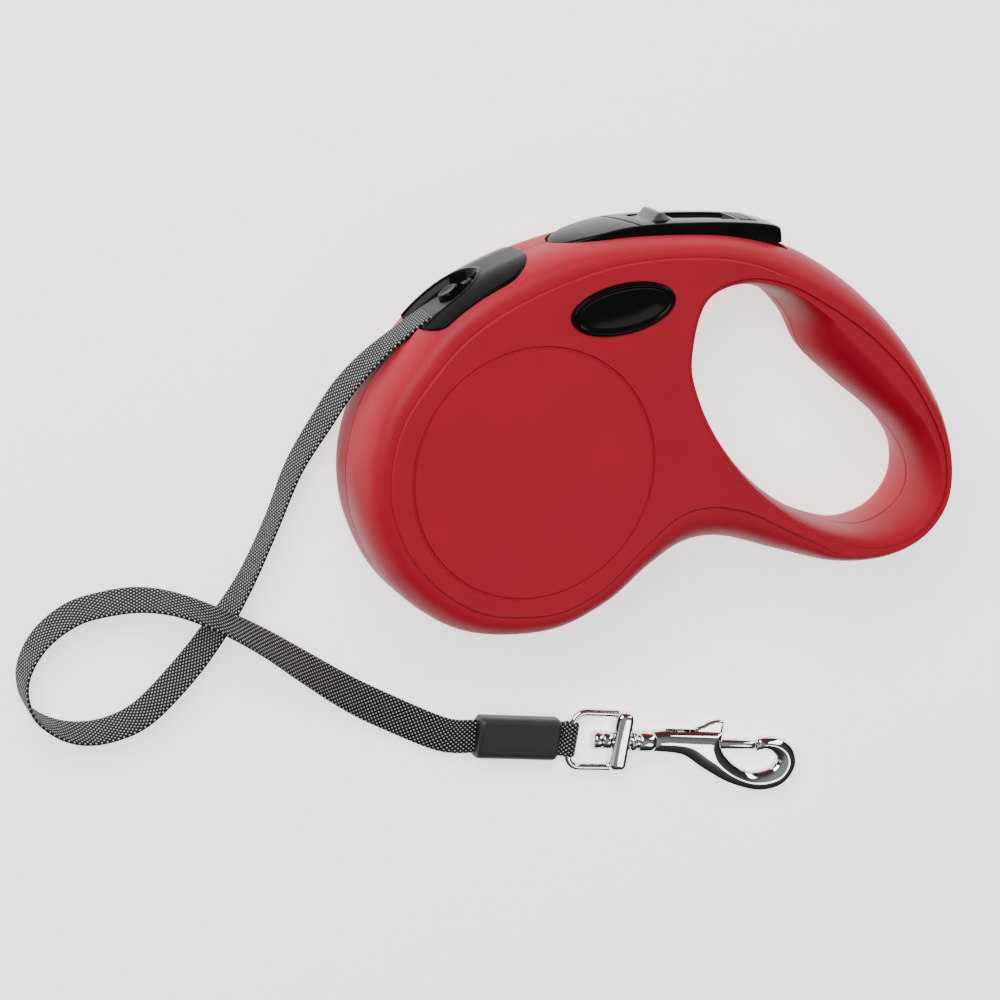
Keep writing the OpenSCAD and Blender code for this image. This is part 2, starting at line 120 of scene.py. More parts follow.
# ---------------------------------------------------------------- materials
def material(name, base, rough, metallic=0.0, grain=(900, 0.15, 0.00003), spread=0.06,
             rough_spread=0.08, shine=0.5):
    """A moulded or metal finish: slow changes of tone and gloss, and grain (scale, strength, height)."""
    m = bpy.data.materials.new(name)
    m.use_nodes = True
    t = m.node_tree
    n, link = t.nodes, t.links
    bsdf = n["Principled BSDF"]
    bsdf.inputs["Metallic"].default_value = metallic
    bsdf.inputs["Specular IOR Level"].default_value = shine
    coord = n.new("ShaderNodeTexCoord")
    slow = n.new("ShaderNodeTexNoise")
    slow.inputs["Scale"].default_value = 45
    slow.inputs["Detail"].default_value = 3
    link.new(coord.outputs["Object"], slow.inputs["Vector"])
    ramp = n.new("ShaderNodeValToRGB")
    ramp.color_ramp.elements[0].position, ramp.color_ramp.elements[1].position = 0.3, 0.7
    ramp.color_ramp.elements[0].color = (*[c * (1 - spread) for c in base], 1)
    ramp.color_ramp.elements[1].color = (*[min(1, c * (1 + spread)) for c in base], 1)
    link.new(slow.outputs["Fac"], ramp.inputs["Fac"])
    link.new(ramp.outputs["Color"], bsdf.inputs["Base Color"])
    fine = n.new("ShaderNodeTexNoise")
    fine.inputs["Scale"].default_value = grain[0]
    fine.inputs["Detail"].default_value = 4
    link.new(coord.outputs["Object"], fine.inputs["Vector"])
    gloss = n.new("ShaderNodeMapRange")
    gloss.inputs["From Min"].default_value, gloss.inputs["From Max"].default_value = 0.3, 0.7
    gloss.inputs["To Min"].default_value = rough * (1 - rough_spread)
    gloss.inputs["To Max"].default_value = rough * (1 + rough_spread)
    link.new(slow.outputs["Fac"], gloss.inputs["Value"])
    link.new(gloss.outputs["Result"], bsdf.inputs["Roughness"])
    bump = n.new("ShaderNodeBump")
    bump.inputs["Strength"].default_value = grain[1]
    bump.inputs["Distance"].default_value = grain[2]
    link.new(fine.outputs["Fac"], bump.inputs["Height"])
    link.new(bump.outputs["Normal"], bsdf.inputs["Normal"])
    return m


YARN_ALONG, YARN_ACROSS = 0.75, 0.64


def weave_material():
    """Webbing in a basket weave. The UV map is millimetres: u along the tape, v across it."""
    m = bpy.data.materials.new("tape_weave")
    m.use_nodes = True
    t = m.node_tree
    n, link = t.nodes, t.links
    bsdf = n["Principled BSDF"]
    bsdf.inputs["Roughness"].default_value = 0.7
    bsdf.inputs["Specular IOR Level"].default_value = 0.2
    uv = n.new("ShaderNodeUVMap")
    uv.uv_map = "tape"
    split = n.new("ShaderNodeSeparateXYZ")
    link.new(uv.outputs["UV"], split.inputs["Vector"])

    def op(kind, a, b=None):
        node = n.new("ShaderNodeMath")
        node.operation = kind
        for k, x in enumerate((a, b)):
            if x is None:
                continue
            if isinstance(x, (int, float)):
                node.inputs[k].default_value = x
            else:
                link.new(x, node.inputs[k])
        return node.outputs[0]

    u, v = split.outputs["X"], split.outputs["Y"]
    # Warp and weft cross like a chessboard: on every other cell a pale yarn comes to the top.
    a = op("MULTIPLY", u, 1 / YARN_ALONG)
    b = op("MULTIPLY", v, 1 / YARN_ACROSS)
    fa, fb = op("FRACT", a), op("FRACT", b)
    bulge_a = op("SINE", op("MULTIPLY", fa, math.pi))
    bulge_b = op("SINE", op("MULTIPLY", fb, math.pi))
    cell = op("ADD", op("FLOOR", a), op("FLOOR", b))
    odd = op("MODULO", op("ABSOLUTE", cell), 2.0)
    height = op("MULTIPLY", op("POWER", bulge_a, 0.6), op("POWER", bulge_b, 0.6))
    light = op("MULTIPLY", height, op("ADD", op("MULTIPLY", odd, 0.82), 0.18))
    ramp = n.new("ShaderNodeValToRGB")
    e = ramp.color_ramp.elements
    e[0].position, e[0].color = 0.1, (0.006, 0.006, 0.007, 1)
    e[1].position, e[1].color = 0.92, (0.5, 0.51, 0.5, 1)
    mid = ramp.color_ramp.elements.new(0.55)
    mid.color = (0.016, 0.016, 0.017, 1)
    link.new(light, ramp.inputs["Fac"])
    link.new(ramp.outputs["Color"], bsdf.inputs["Base Color"])
    bump = n.new("ShaderNodeBump")
    bump.inputs["Strength"].default_value = 0.8
    bump.inputs["Distance"].default_value = 0.0002
    link.new(height, bump.inputs["Height"])
    link.new(bump.outputs["Normal"], bsdf.inputs["Normal"])
    return m


RED = material("red_shell", (0.365, 0.008, 0.022), 0.5, grain=(2600, 0.35, 0.00005), spread=0.05,
               shine=0.2)
GLOSS = material("gloss_black", (0.004, 0.004, 0.0045), 0.10, grain=(1500, 0.02, 0.00001),
                 shine=0.06)
DARK = material("dark_plastic", (0.03, 0.03, 0.032), 0.4, grain=(1800, 0.2, 0.00003))
WHITE = material("white_plastic", (0.72, 0.72, 0.70), 0.45, grain=(1500, 0.12, 0.00003), spread=0.02)
STEEL = material("steel", (0.56, 0.57, 0.58), 0.28, metallic=1.0, grain=(1200, 0.1, 0.00001))
CHROME = material("chrome", (0.80, 0.80, 0.81), 0.07, metallic=1.0, grain=(500, 0.06, 0.00002),
                  spread=0.03, rough_spread=0.4)
RUBBER = material("sleeve_rubber", (0.014, 0.014, 0.014), 0.5, grain=(2200, 0.4, 0.00005), spread=0.2)
WEAVE = weave_material()


# ---------------------------------------------------------------- mesh helpers
def piece(name, verts, faces, mat, body, slot, nodes=(), flat=False, angle=35):
    """A mesh piece from drum millimetres, riding on a body."""
    me = bpy.data.meshes.new(name)
    me.from_pydata(mm(verts).tolist(), [], [list(map(int, f)) for f in faces])
    me.validate()
    bm = bmesh.new()
    bm.from_mesh(me)
    bmesh.ops.remove_doubles(bm, verts=bm.verts, dist=1e-6)
    bmesh.ops.recalc_face_normals(bm, faces=bm.faces)
    bm.to_mesh(me)
    bm.free()
    o = bpy.data.objects.new(name, me)
    bpy.context.scene.collection.objects.link(o)
    if mat:
        me.materials.append(mat)
    if not flat:
        smooth(o, angle)
    if body:
        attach(o, body)
        if nodes:
            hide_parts(*nodes)
    return o


def smooth(o, angle=35):
    """Smooth shading with edges kept sharp above an angle."""
    me = o.data
    for p in me.polygons:
        p.use_smooth = True
    me.set_sharp_from_angle(angle=math.radians(angle))


def apply_modifiers(o):
    """Makes o's mesh what its modifiers give."""
    dg = bpy.context.evaluated_depsgraph_get()
    me = bpy.data.meshes.new_from_object(o.evaluated_get(dg))
    o.modifiers.clear()
    o.data = me


def cut(o, cutters):
    """Subtracts throw-away solids from o."""
    for c in cutters:
        b = o.modifiers.new("cut", "BOOLEAN")
        b.operation, b.solver, b.object = "DIFFERENCE", "EXACT", c
        apply_modifiers(o)
        bpy.data.objects.remove(c)


def cutter(verts, faces):
    """A throw-away solid for cut()."""
    return piece("cutter", verts, faces, None, None, None, flat=True)


def prism(points, z0, z1):
    n = len(points)
    v = [(*p, z0) for p in points] + [(*p, z1) for p in points]
    f = [list(range(n))[::-1], list(range(n, 2 * n))]
    f += [[i, (i + 1) % n, (i + 1) % n + n, i + n] for i in range(n)]
    return cutter(v, f)


def circle(r, n=96, at=(0, 0)):
    return [(at[0] + r * math.cos(2 * math.pi * k / n), at[1] + r * math.sin(2 * math.pi * k / n))
            for k in range(n)]


def loft(rings):
    """Verts and faces of a capped loft through closed rings with the same number of points."""
    n, v, f = len(rings[0]), [p for r in rings for p in r], []
    for j in range(len(rings) - 1):
        for i in range(n):
            k = (i + 1) % n
            f.append([j * n + i, j * n + k, (j + 1) * n + k, (j + 1) * n + i])
    f.append(list(range(n))[::-1])
    f.append(list(range((len(rings) - 1) * n, len(rings) * n)))
    return v, f


def fill(loops, holes, inner=()):
    """2-D triangulation between closed loops. Triangles whose middle is in a hole are dropped."""
    pts, edges = [], []
    for lp in loops:
        s = len(pts)
        pts += [Vector((float(p[0]), float(p[1]))) for p in lp]
        edges += [(s + i, s + (i + 1) % len(lp)) for i in range(len(lp))]
    pts += [Vector((float(p[0]), float(p[1]))) for p in inner]
    v, _, f, _, _, _ = delaunay_2d_cdt(pts, edges, [], 0, 1e-7)
    v = np.array([(p.x, p.y) for p in v])
    tri = np.array([t for t in f if len(t) == 3])
    c = v[tri].mean(1)
    keep = inside(c, loops[0])
    for h in holes:
        keep &= ~inside(c, h)
    return v, tri[keep]


def inside(points, loop):
    """Which points lie inside a closed loop."""
    p, q = np.array(points, float), np.array(loop, float)[:, :2]
    hit = np.zeros(len(p), bool)
    a, b = q, np.roll(q, -1, 0)
    for (x0, y0), (x1, y1) in zip(a, b):
        if y0 == y1:
            continue
        cross = ((y0 > p[:, 1]) != (y1 > p[:, 1]))
        hit ^= cross & (p[:, 0] < (x1 - x0) * (p[:, 1] - y0) / (y1 - y0) + x0)
    return hit


def normals2(loop):
    """Inward unit normals of a counter-clockwise loop."""
    d = np.roll(loop, -1, 0) - np.roll(loop, 1, 0)
    n = np.stack([-d[:, 1], d[:, 0]], 1)
    return n / np.linalg.norm(n, axis=1)[:, None]


def ease(x):
    """A smooth step from 0 to 1."""
    x = np.clip(x, 0, 1)
    return x * x * (3 - 2 * x)


# ---------------------------------------------------------------- casing shells
SCREWS, SCREW_R, AXLE_END = ((57, -18), (97.5, 29.5), (119.5, -7)), 2.8, (0, 0)
SCREW_DEEP, AXLE_DEEP = 3, 1.5
BADGE_AT, BADGE_A, BADGE_B = (31, 41), 15.5, 7
GROOVE_R, GROOVE_DEEP = 35.7, 0.5
BUTTON_PIN = (21.5, 54.8)
SKIN = 0.06  # how far the shells stay inside the CAD outline
edge = curve(OUTLINE, 8)
edge_in = normals2(edge[:, :2])
if not inside([edge[0, :2] + edge_in[0]], edge)[0]:
    edge_in = -edge_in
mouth = curve(OPENING, 8)
mouth_out = normals2(mouth[:, :2])
if inside([mouth[0, :2] + mouth_out[0]], mouth[:, :2])[0]:
    mouth_out = -mouth_out
# The raised face plate fades out on the grip.
plate = np.array([ease((96 - x) / 12) if y < 0 or x < 60 else ease((90 - x) / 8) for x, y, _ in edge])
reach = np.where(edge[:, 2] < 4.5, edge[:, 2] * 0.9, edge[:, 2])


def rim_ring(inset, z):
    """The outline moved inwards, at height z."""
    xy = edge[:, :2] + edge_in * (np.asarray(inset) + SKIN)[:, None]
    return np.column_stack([xy, z + np.zeros(len(edge))])


def mouth_ring(angle, push=0.0, z=None):
    """The grip opening's edge at an angle round its wall, pushed outwards into the material."""
    k = 1 - math.cos(math.radians(angle))
    p = mouth[:, 2:4] + (mouth[:, :2] - mouth[:, 2:4]) * k + mouth_out * push
    h = MID + MID * math.sin(math.radians(angle)) if z is None else z
    return np.column_stack([p, np.full(len(p), h)])


def half_shell(front):
    """One casing half, solid, with its parting line, rim, face plate and sunk details."""
    one = np.ones(len(edge))
    outer = [rim_ring(one * g, z) for g, z in ((0.22, MID + 0.03), (0.05, MID + 0.2), (0, MID + 0.45), (0, 19))]
    for a in (0, 12, 24, 36, 47, 57, 66, 74, 81, 86):
        c, s = 1 - math.cos(math.radians(a)), math.sin(math.radians(a))
        outer.append(rim_ring(reach * c, THICK - RIM + RIM * s - plate * 0.5 * ease((a - 50) / 36)))
    w = 0.12 + 0.88 * plate
    outer += [rim_ring(reach, THICK - 0.02 - plate * 0.5),
              rim_ring(reach + 0.1 * w, THICK - 0.02 - plate * 0.62),
              rim_ring(reach + 0.35 * w, THICK - 0.02 - plate * 0.60),
              rim_ring(reach + 0.55 * w, THICK - 0.01 - plate * 0.18),
              rim_ring(reach + 0.8 * w, THICK - plate * 0.02)]
    wall = [mouth_ring(0, 0.25, MID + 0.03), mouth_ring(0, 0.08, MID + 0.2), mouth_ring(0, 0, MID + 0.5)]
    wall += [mouth_ring(a) for a in (6, 14, 23, 32, 41, 50, 58, 66, 73)]
    wall += [mouth_ring(90, 0.0, 32.3), mouth_ring(90, 0.16, 32.25), mouth_ring(90, 0.2, 32.62),
             mouth_ring(90, 0.32, 32.9), mouth_ring(90, 0.5, THICK)]
    n, m = len(edge), len(mouth)
    verts, faces = [], []

    def strip(rings, count):
        s = len(verts)
        for r in rings:
            verts.extend(r.tolist())
        for j in range(len(rings) - 1):
            for i in range(count):
                k = (i + 1) % count
                faces.append([s + j * count + i, s + j * count + k, s + (j + 1) * count + k,
                              s + (j + 1) * count + i])

    strip(outer, n)
    strip(wall, m)
    sunk = (*SCREWS, AXLE_END)
    loops = [outer[-1], wall[-1]]
    if front:
        for off in (-0.48, -0.22, 0.22, 0.48):
            loops.append(circle(GROOVE_R + off, 240))
        for g in (0.28, 0.14, 0.08):
            loops.append([(BADGE_AT[0] + (BADGE_A + g) * x, BADGE_AT[1] + (BADGE_B + g) * y)
                          for x, y in circle(1)])
    else:
        for at in sunk:
            loops.append(circle(SCREW_R, 40, at))
            loops.append(circle(SCREW_R - 0.03, 40, at))
    grid = [(x, y) for x in np.arange(-46, 128, 6.1) for y in np.arange(-46, 56, 6.1)]
    grid = [g for g, ok in zip(grid, inside(grid, rim_ring(reach + 3, 0)[:, :2])
                               & ~inside(grid, mouth_ring(90, 3)[:, :2])) if ok]
    if front:
        grid = [g for g in grid if abs(math.hypot(*g) - GROOVE_R) > 2
                and ((g[0] - BADGE_AT[0]) / 18) ** 2 + ((g[1] - BADGE_AT[1]) / 9.5) ** 2 > 1]
    else:
        grid = [g for g in grid if all(math.dist(g, at) > 4.5 for at in sunk)]
    v, tri = fill(loops, [wall[-1]], grid)
    z = np.full(len(v), THICK)
    rad = np.hypot(v[:, 0], v[:, 1])
    if front:
        z[np.abs(rad - GROOVE_R) < 0.3] = THICK - GROOVE_DEEP
        q = np.sqrt(((v[:, 0] - BADGE_AT[0]) / BADGE_A) ** 2 + ((v[:, 1] - BADGE_AT[1]) / BADGE_B) ** 2)
        z[q < 1.0165] = THICK - 0.8
        z[(q >= 1.0165) & (q < 1.024)] = THICK - 0.12
    else:
        for x, y in sunk:
            deep = AXLE_DEEP if (x, y) == AXLE_END else SCREW_DEEP
            z[np.hypot(v[:, 0] - x, v[:, 1] - y) < SCREW_R - 0.015] = THICK - deep
    # The plate's edge keeps the height of the ring that it meets.
    for p in outer[-1]:
        z[np.hypot(v[:, 0] - p[0], v[:, 1] - p[1]) < 1e-4] = p[2]
    s = len(verts)
    verts.extend(np.column_stack([v, z]).tolist())
    faces.extend((tri + s).tolist())
    v, tri = fill([outer[0], wall[0]], [wall[0]])
    s = len(verts)
    verts.extend(np.column_stack([v, np.full(len(v), MID + 0.03)]).tolist())
    faces.extend((tri + s).tolist())
    verts = np.array(verts)
    if not front:
        verts[:, 2] = THICK - verts[:, 2]
    return piece("casing_front" if front else "casing_rear", verts, faces, RED, None, None, flat=True)


PAWL_WAY = [(29, 34.5), (37.5, 26.5), (48, 53), (33, 54)]


def grip_box():
    """The hollow inside the grip, in plan."""
    c, s = math.cos(math.radians(-59)), math.sin(math.radians(-59))
    return [(108.5 + x * c - y * s, 11.5 + x * s + y * c)
            for x, y in ((-11, -4.5), (11, -4.5), (11, 4.5), (-11, 4.5))]


# The nozzle's outer face: a tongue that wraps the rim, given along the outline (s, mm) and across it.
arc_curve = curve(OUTLINE, 40)
arc_xy, arc_r = arc_curve[:, :2], arc_curve[:, 2]
seg = np.linalg.norm(np.diff(arc_xy, axis=0), axis=1)
arc_s = np.concatenate([[0], np.cumsum(seg)])
arc_n = normals2(arc_xy)
if not inside([arc_xy[0] + arc_n[0]], arc_xy)[0]:
    arc_n = -arc_n


def arc_at_x(x):
    """Arc length at which the top of the outline passes x."""
    k = np.where((arc_xy[:-1, 0] - x) * (arc_xy[1:, 0] - x) <= 0)[0]
    k = k[arc_xy[k, 1] > 30][0]
    t = (x - arc_xy[k, 0]) / (arc_xy[k + 1, 0] - arc_xy[k, 0])
    return arc_s[k] + t * seg[k]


def on_rim(s, w, lift):
    """Drum millimetres of the point at arc s, w mm round the rim from half thickness, lifted by lift."""
    x, y = np.interp(s, arc_s, arc_xy[:, 0]), np.interp(s, arc_s, arc_xy[:, 1])
    nx, ny = np.interp(s, arc_s, arc_n[:, 0]), np.interp(s, arc_s, arc_n[:, 1])
    r = np.interp(s, arc_s, arc_r)
    wall = THICK - RIM - MID
    a = np.clip((np.abs(w) - wall) / 10.4, 0, 1.2)
    z = np.where(np.abs(w) < wall, np.abs(w), wall + RIM * np.sin(a))
    inset = r * (1 - np.cos(a))
    nz = np.where(np.abs(w) < wall, 0, r * np.sin(a) / np.hypot(r * np.sin(a), RIM * np.cos(a)))
    nh = np.sqrt(1 - nz ** 2)
    sign = np.sign(w)
    return np.stack([x + nx * (inset - nh * lift), y + ny * (inset - nh * lift),
                     MID + sign * (z + nz * lift)], -1)


S_TIP, S_END = arc_at_x(9.5), arc_at_x(-25.5)
W_HALF = 13.3


def tongue(s):
    """Half width of the tongue at arc s."""
    right = np.clip((s - S_TIP) / 13.0, 0, 1)
    left = np.clip((S_END - s) / 7.0, 0, 1)
    return W_HALF * (1 - (1 - right) ** 2.2) ** 0.5 * (1 - (1 - left) ** 2.4) ** 0.5


S_DISH, DISH_A, DISH_B = arc_at_x(-14.5), 11.0, 7.9


def nozzle_lift(s, w):
    """Height of the nozzle's face over the rim."""
    q = np.hypot((s - S_DISH) / np.where(s < S_DISH, DISH_A, 40.0), w / DISH_B)
    h = 0.45 - 4.3 * ease((1.0 - q) / 0.24)
    h += 0.28 * np.exp(-((q - 1.03) / 0.035) ** 2)
    boss = np.hypot((s - (S_DISH - 1.2)) / 4.3, (w - 0.2) / 3.1)
    h += 4.0 * ease((1 - boss) / 0.32) - 0.25 * ease(1 - boss)
    rib = np.maximum(np.abs(s - (S_DISH - 7.2)) / 2.2, np.abs(w + 0.6) / 1.7)
    h += 2.7 * ease((1 - rib) / 0.35)
    return h


def nozzle_solid(lift_fn, depth, grow, steps, round_edge=0.0):
    """A slab on the rim in the tongue's plan: its face lifted by lift_fn, its back depth mm down."""
    m, k = steps
    s0, s1 = S_TIP - grow, S_END + grow
    u = np.linspace(0, 1, m)
    s = s0 + (s1 - s0) * (0.5 - 0.5 * np.cos(math.pi * u)) * 0.5 + (s1 - s0) * u * 0.5
    half = np.maximum(tongue(np.clip(s, S_TIP + 0.02, S_END - 0.02)) + grow, 0.25)
    v = np.linspace(-1, 1, k)
    S = np.repeat(s[:, None], k, 1)
    W = half[:, None] * v[None, :]
    edge_d = np.minimum(np.minimum(half[:, None] - np.abs(W), S - s0), s1 - S)
    top = lift_fn(S, W) - round_edge * (1 - ease(edge_d / 0.8)) ** 2
    outer = on_rim(S, W, top).reshape(-1, 3)
    inner = on_rim(S, W, np.full_like(top, -depth)).reshape(-1, 3)
    faces = []
    for i in range(m - 1):
        for j in range(k - 1):
            a = i * k + j
            faces.append([a, a + 1, a + k + 1, a + k])
            faces.append([m * k + a, m * k + a + k, m * k + a + k + 1, m * k + a + 1])
    rim = [i * k for i in range(m)] + [(m - 1) * k + j for j in range(1, k)] \
        + [i * k + k - 1 for i in range(m - 2, -1, -1)] + [j for j in range(k - 2, 0, -1)]
    for a, b in zip(rim, rim[1:] + rim[:1]):
        faces.append([a, b, m * k + b, m * k + a])
    return np.vstack([outer, inner]), faces


def button_width(x):
    """Half width of the button at x."""
    left = np.clip((x - 17.2) / 15.5, 0, 1)
    tip = np.clip((84.3 - x) / 1.6, 0, 1)
    return 9.5 * (1 - (1 - left) ** 2.0) ** 0.5 * (0.88 + 0.12 * (1 - (1 - tip) ** 2) ** 0.5)


def bay_solid():
    """The button's bay: its floor is the CAD's, its sides follow the button's rounded end."""
    floor = np.array([(16.6, 51), (27, 51), (50, 51.6), (70, 46.8), (85, 42.3), (85.4, 43)])
    rings = []
    for x in np.concatenate([16.85 + 3.0 * np.linspace(0, 1, 9) ** 2, np.arange(20.5, 33, 0.8),
                             [40, 55, 70, 80, 85.3]]):
        half = float(button_width(np.array(max(x, 17.2)))) + 0.4 if x < 80 else 9.9
        y = float(np.interp(x, floor[:, 0], floor[:, 1]))
        rings.append([(x, y, MID - half), (x, 70, MID - half), (x, 70, MID + half), (x, y, MID + half)])
    return loft(rings)


def shell_cutters():
    """The hollows of the casing: button bay, pawl slot, grip, nozzle seat and tape way, drum, pin."""
    out = [cutter(*bay_solid())]
    out.append(prism(PAWL_WAY, 21.8, 25.2))
    out.append(prism(grip_box(), 3.5, THICK - 3.5))
    out.append(cutter(*nozzle_solid(lambda s, w: np.full_like(s, 3.0), 6.5, 0.06, (40, 24))))
    out.append(prism([(6, 39), (1.1, 45.4), (-8.6, 50.7), (-12, 51.2), (-14, 60), (-32, 60), (-32, 39.6),
                      (-27, 42.1), (-20, 45.4), (-14, 47.2), (-12.8, 44.6), (-8, 43.5), (-4, 40)], 10.9, 22.1))
    out.append(prism(circle(45.5), 5.5, THICK - 5.5))
    out.append(prism(circle(41.5), 2.2, THICK - 2.2))
    out.append(prism(circle(1.5, 24, BUTTON_PIN), 3.5, THICK - 3.5))
    return out


for front in (True, False):
    shell = half_shell(front)
    cut(shell, shell_cutters())
    shell.data.materials.clear()
    shell.data.materials.append(RED)
    smooth(shell, 32)
    shell.modifiers.new("normals", "WEIGHTED_NORMAL").keep_sharp = True
    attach(shell, "casing")
    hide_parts("front_shell" if front else "rear_shell")

# ---------------------------------------------------------------- nozzle
v, f = nozzle_solid(nozzle_lift, 5.6, 0.0, (150, 110), round_edge=0.55)
piece("nozzle_tongue", v, f, GLOSS, "casing", "gloss_black", ["nozzle_insert"], angle=60)


# ---------------------------------------------------------------- badge
def badge_rings():
    """The domed oval with its raised rim, from its foot to its middle."""
    rings = []
    for g, z in ((-0.02, 32.25), (-0.02, 33.3), (-0.12, 33.65), (-0.4, 33.86), (-0.9, 33.9), (-1.25, 33.82),
                 (-1.45, 33.6), (-1.7, 33.5), (-2.4, 33.55), (-4.0, 33.68), (-5.6, 33.74), (-6.6, 33.76)):
        a, b = BADGE_A + g, BADGE_B + g * (1 if g > -6 else 0.98)
        rings.append([(BADGE_AT[0] + a * math.cos(t), BADGE_AT[1] + b * math.sin(t), z)
                      for t in np.linspace(0, 2 * math.pi, 120, endpoint=False)])
    return rings


v, f = loft(badge_rings())
piece("badge_oval", v, f, GLOSS, "casing", "gloss_black", ["badge"], angle=50)


# ---------------------------------------------------------------- brake button
TOP_LINE = [(17.2, 58.0), (18.4, 59.1), (22, 60.1), (28, 60.8), (38, 61.2), (50, 60), (65, 57.4),
            (76, 55), (82, 53.2), (84.2, 52.0)]
LOW_LINE = [(17.2, 57.0), (18.4, 56.6), (22, 56.2), (26, 55.2), (30, 56), (50, 54.6), (70, 51),
            (80, 48.6), (84.2, 47.8)]


def top_detail(x, w):
    """Hollows in the button's top: x along it, w from its middle."""
    seam = np.abs(x - (39.5 + 0.25 * w))
    h = -0.35 * (1 - ease(seam / 0.45)) * (np.abs(w) < 9.3)
    track = np.minimum(np.minimum(x - 43.2, 72.6 - x), 5.5 - np.abs(w))
    h = h - 1.0 * ease(track / 0.5)
    ridge = (x > 73.4) & (x < 78.6) & (np.abs(w) < 5.5)
    return h + np.where(ridge, 0.28 * np.abs(np.sin((x - 73.4) / 5.2 * math.pi * 5)), 0)


def button_section(x, top, foot):
    """The button across at x: a side up, its rounded edge, the crowned top and down again."""
    half = float(button_width(np.array(x)))
    r = min(0.9, half * 0.6, (top - foot) * 0.45)
    flank = [(foot, half - 0.15), ((foot + top - r) / 2, half - 0.03), (top - r, half)]
    for a in (25, 50, 75):
        flank.append((top - r + r * math.sin(math.radians(a)), half - r * (1 - math.cos(math.radians(a)))))
    ring = [(x, y, MID - w) for y, w in flank]
    for w in np.linspace(-1, 1, 61):
        z = w * (half - r)
        crown = 0.35 * (1 - w * w) * min(1, half / 9)
        ring.append((x, top + crown + float(top_detail(np.array(x), np.array(z))), MID + z))
    return ring + [(x, y, MID + w) for y, w in reversed(flank)]


xs = np.unique(np.concatenate([17.25 + 2.0 * np.linspace(0, 1, 10) ** 2, np.arange(19.5, 82.5, 0.3),
                               84.2 - 1.7 * np.linspace(0, 1, 12) ** 2]))
top_line, low_line = curve(TOP_LINE, 8, False), curve(LOW_LINE, 8, False)
v, f = loft([button_section(x, np.interp(x, *top_line.T), np.interp(x, *low_line.T)) for x in xs])
piece("thumb_button", v, f, GLOSS, "button", "gloss_black", ["brake_button"], angle=40)


# ---------------------------------------------------------------- lock slider
def on_slide(x, y):
    """Track millimetres to drum millimetres, in plan."""
    return (SLIDE_AT[0] + x * slide_c - y * slide_s, SLIDE_AT[1] + x * slide_s + y * slide_c)


WEDGE = [(0.2, 0.15), (0.2, 0.75), (1.8, 0.95), (3.1, 1.25), (4.0, 2.4), (4.75, 3.3), (5.2, 3.42),
         (6.0, 3.38), (6.9, 3.1), (8.2, 2.0), (9.6, 1.25), (11.6, 0.95), (11.8, 0.6), (11.8, 0.15)]
wedge = curve(WEDGE, 3, False)
rings = []
for z, g in ((-4.95, 0.3), (-4.85, 0.1), (-4.6, 0.0), (4.6, 0.0), (4.85, 0.1), (4.95, 0.3)):
    rings.append([(*on_slide(p[0] + (6 - p[0]) * g * 0.05, max(0.15, p[1] - g * 0.6)), MID + z) for p in wedge])
v, f = loft(rings)
GREY = material("dark_plastic_slider", (0.045, 0.046, 0.047), 0.34, grain=(1800, 0.25, 0.00003))
piece("slider_wedge", v, f, GREY, "slider", "dark_plastic", ["lock_slider"], angle=45)


# ---------------------------------------------------------------- tape
SLEEVE_X = (-48.2, -22.2)
before, entry = on_hook((SLEEVE_X[0] - 10, 0, 0))[0], on_hook((SLEEVE_X[0], 0, 0))[0]
# The tape's middle line and its lean, from 90 degrees on edge to 180 flat, out of the nozzle to the sleeve.
ROUTE = [
    (-20, 46.9, 16.5, 90), (-28, 42.9, 16, 88), (-36.5, 37.3, 14.4, 82), (-44.2, 30.1, 11.6, 78),
    (-51, 21.3, 9, 77), (-60.2, 9, 6.6, 82), (-68.5, -6, 5.4, 86), (-78.4, -20.9, 5.3, 82),
    (-88.4, -32.4, 5, 70), (-99.4, -42.6, 4.8, 64), (-111.8, -51.2, 4.9, 65),
    (-121.5, -53.6, 5, 68), (-130.6, -52.6, 5, 70), (-138.3, -48.2, 5.2, 78),
    (-143.3, -41.4, 5.3, 88), (-143.3, -31.9, 5.3, 96), (-137.3, -23.4, 5.2, 104),
    (-127.7, -18.3, 5.3, 110), (-117.9, -17.2, 6.2, 113), (-108.5, -17.6, 8.6, 115),
    (-99.4, -20.4, 11.8, 115), (-89.6, -26.4, 14.1, 118), (-77.3, -37, 10.4, 126),
    (-65.4, -48.9, 6.4, 138), (-52.5, -61.4, 3.6, 153), (-41, -70.8, 2.4, 168),
    (before[0], before[1], 2.8, 178), (entry[0], entry[1], HOOK_Z, 180)]
LEAD_IN = (-12, 49.6, MID, 90)
TAPE_WIDE = 10.0


def ribbon(name, line, side_vec, up_vec, width, thick, nodes):
    """A woven strip: a rounded flat section swept along a line, its UV map in millimetres."""
    profile = []
    for w in np.linspace(-1, 1, 15):
        swell = 1 - 0.45 * max(0, (abs(w) - 0.9) / 0.1) ** 2
        profile.append((w * width / 2, thick / 2 * swell))
    section = profile + [(w, -t) for w, t in reversed(profile)]
    dist = np.concatenate([[0], np.cumsum(np.linalg.norm(np.diff(line, axis=0), axis=1))])
    rings = [[p + s * w + u * t for w, t in section] for p, s, u in zip(line, side_vec, up_vec)]
    v, f = loft(rings)
    o = piece(name, v, f, WEAVE, None, None, flat=True)
    me = o.data
    layer = me.uv_layers.new(name="tape")
    laid = mm(v)
    source = [int(np.argmin(((laid - x.co) ** 2).sum(1))) for x in me.vertices]
    for lp in me.loops:
        ring_no, place_in_ring = divmod(source[lp.vertex_index], len(section))
        layer.data[lp.index].uv = (dist[ring_no], section[place_in_ring][0])
    smooth(o, 60)
    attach(o, "casing")
    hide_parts(*nodes)
    return o


